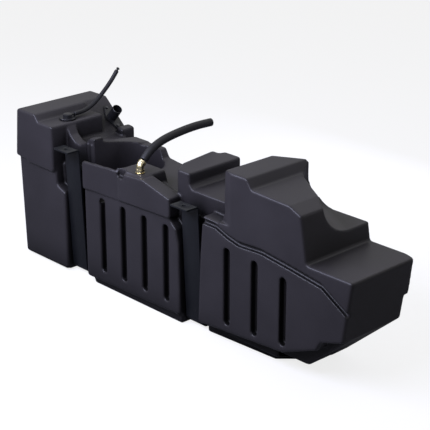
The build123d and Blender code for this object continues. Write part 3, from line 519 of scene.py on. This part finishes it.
class FUELTANK_OT_elbow(bpy.types.Operator):
    """Cast and turned brass elbow on the pad: hexagon, round body, bend and collar"""

    bl_idname = "fueltank.elbow"
    bl_label = "Brass elbow"

    HEX_HEIGHT = 12 * MM
    HEX_RADIUS = 16 * MM
    HEX_EDGE = 0.9 * MM
    SUNK = 1 * MM               # start of the body inside the hexagon
    STEPS = 10                  # faces round the bend
    END = 4 * MM                # straight stretch behind the bend
    COLLAR = 5.8 * MM
    COLLAR_EDGE = 0.8 * MM
    COLLAR_RISE = 0.6 * MM      # collar's crown above its ends
    BARB_START = 6 * MM
    BARB_STEP = 1 * MM          # barb's root inside the body
    BARB_END = 9 * MM

    def execute(self, context):
        sizes = context.scene.hose_looks
        low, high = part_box("elbow_insert")
        foot = Vector(((low.x + high.x) / 2, (low.y + high.y) / 2, high.z))
        bm = bmesh.new()
        hexagon = bmesh.ops.create_cone(
            bm, cap_ends=True, segments=6, radius1=self.HEX_RADIUS, radius2=self.HEX_RADIUS,
            depth=self.HEX_HEIGHT, matrix=upright(foot + Vector((0, 0, self.HEX_HEIGHT / 2))))
        edges = {e for v in hexagon["verts"] for e in v.link_edges}
        bevel(bm, list(edges), self.HEX_EDGE, segments=2)
        self.body(bm, foot, sizes)
        elbow = new_piece("brass_elbow", to_mesh(bm, "brass_elbow"), "tank",
                          MATERIALS["brass"])
        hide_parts("vent_elbow")
        return {"FINISHED"}

    def body(self, bm, foot, sizes):
        """Round body from the hexagon, through its bend towards +Y, to its collar and barb."""
        start = foot + Vector((0, 0, self.HEX_HEIGHT - self.SUNK))
        ring = bmesh.ops.create_circle(bm, cap_ends=True, segments=40, radius=sizes.elbow_body,
                                       matrix=Matrix.Translation(start))["verts"]
        cap = [f for f in ring[0].link_faces if len(f.verts) == len(ring)]
        bend_start = breather_corner(sizes.elbow_bend, foot)
        rise = bmesh.ops.extrude_face_region(bm, geom=cap)["geom"]
        tops = [g for g in rise if isinstance(g, bmesh.types.BMVert)]
        bmesh.ops.translate(bm, vec=(0, 0, bend_start.z - start.z), verts=tops)
        centre = bend_start + Vector((0, sizes.elbow_bend, 0))
        bent = bmesh.ops.spin(bm, geom=[g for g in rise if isinstance(g, bmesh.types.BMFace)],
                              cent=centre, axis=(1, 0, 0), angle=-ELBOW_TURN, steps=self.STEPS,
                              use_duplicate=False)["geom_last"]
        ends = [g for g in bent if isinstance(g, bmesh.types.BMVert)]
        way = Vector((0, sin(ELBOW_TURN), cos(ELBOW_TURN)))
        bmesh.ops.translate(bm, vec=way * self.END, verts=ends)
        middle = sum((v.co for v in ends), Vector()) / len(ends)
        crown = sizes.breather_radius
        edge = crown - self.COLLAR_RISE
        barb = sizes.elbow_body - self.BARB_STEP
        turned(bm, [(0, 0), (edge, 0), (crown, self.COLLAR_EDGE),
                    (crown, self.COLLAR - self.COLLAR_EDGE), (edge, self.COLLAR),
                    (barb, self.BARB_START), (barb, self.BARB_END), (0, self.BARB_END)],
               upright(middle, way))
        bmesh.ops.recalc_face_normals(bm, faces=bm.faces)


def breather_corner(bend, foot):
    """Where the elbow's bend starts, so that it ends in line with the hose."""
    start = Vector(BREATHER_ROUTE[0])
    drop = (start.y - foot.y) / tan(ELBOW_TURN)
    corner = start.z - drop
    return Vector((foot.x, foot.y, corner - bend * tan(ELBOW_TURN / 2)))


def hose_curve(name, route, radius, bore):
    """A smooth tube with open ends along a route's points."""
    curve = bpy.data.curves.new(name, "CURVE")
    curve.dimensions = "3D"
    curve.bevel_depth = 1.0     # times the radius of each point
    curve.bevel_resolution = 10
    curve.resolution_u = 14
    spline = curve.splines.new("NURBS")
    spline.points.add(len(route) - 1)
    for point, place in zip(spline.points, route):
        point.co = (*place, 1)
        point.radius = radius
    spline.order_u = 3
    spline.use_endpoint_u = True
    piece = new_piece(name, curve, "tank", MATERIALS["hose_rubber"])
    wall = piece.modifiers.new("Wall", "SOLIDIFY")
    wall.thickness = radius - bore
    wall.offset = -1
    return piece


class FUELTANK_OT_hoses(bpy.types.Operator):
    """The rollover valve's hose and the larger breather hose"""

    bl_idname = "fueltank.hoses"
    bl_label = "Hoses"

    def execute(self, context):
        sizes = context.scene.hose_looks
        vent = hose_curve("valve_hose", VENT_ROUTE, sizes.vent_radius, sizes.vent_bore)
        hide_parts("vent_hose")
        breather = hose_curve("large_hose", BREATHER_ROUTE, sizes.breather_radius,
                              sizes.breather_bore)
        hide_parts("breather_hose")
        return {"FINISHED"}


class FUELTANK_OT_stage(bpy.types.Operator):
    """Pale floor, soft light, white surroundings and the camera"""

    bl_idname = "fueltank.stage"
    bl_label = "Stage"

    TARGET = Vector((0.2515, -0.175, 0.460))
    AZIMUTH = radians(46.6)
    ELEVATION = radians(21.5)
    DISTANCE = 4.358
    SENSOR = 36
    FLOOR_RADIUS = 40
    FLOOR_SHADE = (0.05, 0.2)       # grey to light's own rays and to rays off gloss
    FLOOR_GLOW = (0.0, 0.0, 0.8)    # share of plain white, so that the camera sees a pale floor
    SKY = (0.24, 0.46, 1.0)         # brightness to light's own rays, in gloss, to the camera
    KEY_SPREAD = radians(70)
    KEY_TURN = (radians(-20), radians(-8), 0)
    PANEL = (2.6, 0.7)
    COOL = (0.72, 0.74, 1.0)
    FILL_PLACE = ((-0.3, -1.4, 1.55), (radians(48), 0, radians(-8)))    # its place and turn
    BACK_PLACE = ((0.2, 1.7, 0.75), (radians(-82), 0, 0))

    def execute(self, context):
        looks = context.scene.stage_looks
        self.floor(context, looks)
        self.lights(context, looks)
        self.camera(context, looks)
        self.surroundings(context)
        context.scene.view_settings.view_transform = "Standard"
        return {"FINISHED"}

    def floor(self, context, looks):
        """Pale floor that keeps the tank's shadow."""
        bm = bmesh.new()
        bmesh.ops.create_circle(bm, cap_ends=True, segments=96, radius=self.FLOOR_RADIUS)
        mesh = to_mesh(bm, "floor")
        material, tree, place = start_material("matt_paper_floor")
        grain = add_node(tree, "ShaderNodeTexNoise", {
            "Vector": place, "Scale": 1 / (30 * MM), "Detail": 3})
        lit = add_node(tree, "ShaderNodeBsdfDiffuse", {
            "Color": by_ray(tree, *self.FLOOR_SHADE, looks.floor[0]),
            "Roughness": add_node(tree, "ShaderNodeMapRange", {
                "Value": grain, "From Min": NOISE_LOW, "From Max": NOISE_HIGH,
                "To Min": 0.4, "To Max": 0.6})})
        white = add_node(tree, "ShaderNodeEmission", {"Color": (1, 1, 1, 1), "Strength": 1.0})
        pale = add_node(tree, "ShaderNodeMixShader", {
            "Fac": by_ray(tree, *self.FLOOR_GLOW), 1: lit, 2: white})
        finish_material(tree, pale)
        mesh.materials.append(material)
        floor = bpy.data.objects.new("floor", mesh)
        context.scene.collection.objects.link(floor)

    def lights(self, context, looks):
        """A soft key light from above and a long panel in front of and behind the tank."""
        key = bpy.data.lights.new("key", "SUN")
        key.energy = looks.key_strength
        key.angle = self.KEY_SPREAD
        above = bpy.data.objects.new("key", key)
        above.rotation_euler = self.KEY_TURN
        context.scene.collection.objects.link(above)
        self.panel_light(context, "fill", looks.fill_strength, *self.FILL_PLACE)
        back = self.panel_light(context, "back", looks.back_strength, *self.BACK_PLACE)
        back.visible_glossy = False

    def panel_light(self, context, name, power, place, turn):
        """A long soft panel beside the tank, a little cooler than the key light."""
        lamp = bpy.data.lights.new(name, "AREA")
        lamp.energy = power
        lamp.color = self.COOL
        lamp.shape = "RECTANGLE"
        lamp.size, lamp.size_y = self.PANEL
        holder = bpy.data.objects.new(name, lamp)
        holder.location = place
        holder.rotation_euler = turn
        context.scene.collection.objects.link(holder)
        return holder

    def camera(self, context, looks):
        """Long lens from the front right, a little above the tank."""
        level = cos(self.ELEVATION)
        forward = Vector((-sin(self.AZIMUTH) * level, cos(self.AZIMUTH) * level,
                          -sin(self.ELEVATION)))
        lens = bpy.data.cameras.new("camera")
        lens.lens = looks.lens
        lens.sensor_width = self.SENSOR
        camera = bpy.data.objects.new("camera", lens)
        camera.location = self.TARGET - forward * self.DISTANCE
        camera.rotation_euler = forward.to_track_quat("-Z", "Y").to_euler()
        context.scene.collection.objects.link(camera)
        context.scene.camera = camera

    def surroundings(self, context):
        """White round the tank, dimmer to everything but the camera."""
        world = bpy.data.worlds.new("studio")
        world.use_nodes = True
        tree = world.node_tree
        tree.nodes.clear()
        background = add_node(tree, "ShaderNodeBackground", {
            "Color": (1, 1, 1, 1), "Strength": by_ray(tree, *self.SKY)})
        add_node(tree, "ShaderNodeOutputWorld", {"Surface": background})
        context.scene.world = world


class FUELTANK_PT_panel(bpy.types.Panel):
    """Sidebar panel with the sizes, the colours and one button for each operator"""

    bl_idname = "FUELTANK_PT_panel"
    bl_label = "Fuel tank"
    bl_space_type = "VIEW_3D"
    bl_region_type = "UI"
    bl_category = "Fuel tank"

    def draw(self, context):
        layout = self.layout
        for group in GROUPS:
            box = layout.box()
            for name in group.__annotations__:
                box.prop(getattr(context.scene, SETTINGS[group]), name)
        for operator in OPERATORS:
            layout.operator(operator.bl_idname)


GROUPS = (TankLooks, HoseLooks, StageLooks)
SETTINGS = {TankLooks: "tank_looks", HoseLooks: "hose_looks", StageLooks: "stage_looks"}
OPERATORS = (FUELTANK_OT_finishes, FUELTANK_OT_skin, FUELTANK_OT_slings, FUELTANK_OT_elbow,
             FUELTANK_OT_hoses, FUELTANK_OT_stage)


def register():
    for group, name in SETTINGS.items():
        bpy.utils.register_class(group)
        setattr(bpy.types.Scene, name, PointerProperty(type=group))
    for cls in (*OPERATORS, FUELTANK_PT_panel):
        bpy.utils.register_class(cls)


def unregister():
    for cls in (FUELTANK_PT_panel, *reversed(OPERATORS)):
        bpy.utils.unregister_class(cls)
    for group, name in SETTINGS.items():
        delattr(bpy.types.Scene, name)
        bpy.utils.unregister_class(group)


def main():
    """Build everything in order."""
    register()
    bpy.ops.fueltank.finishes()
    bpy.ops.fueltank.skin()
    bpy.ops.fueltank.slings()
    bpy.ops.fueltank.elbow()
    bpy.ops.fueltank.hoses()
    bpy.ops.fueltank.stage()
    bpy.context.view_layer.update()


if __name__ == "__main__":
    main()
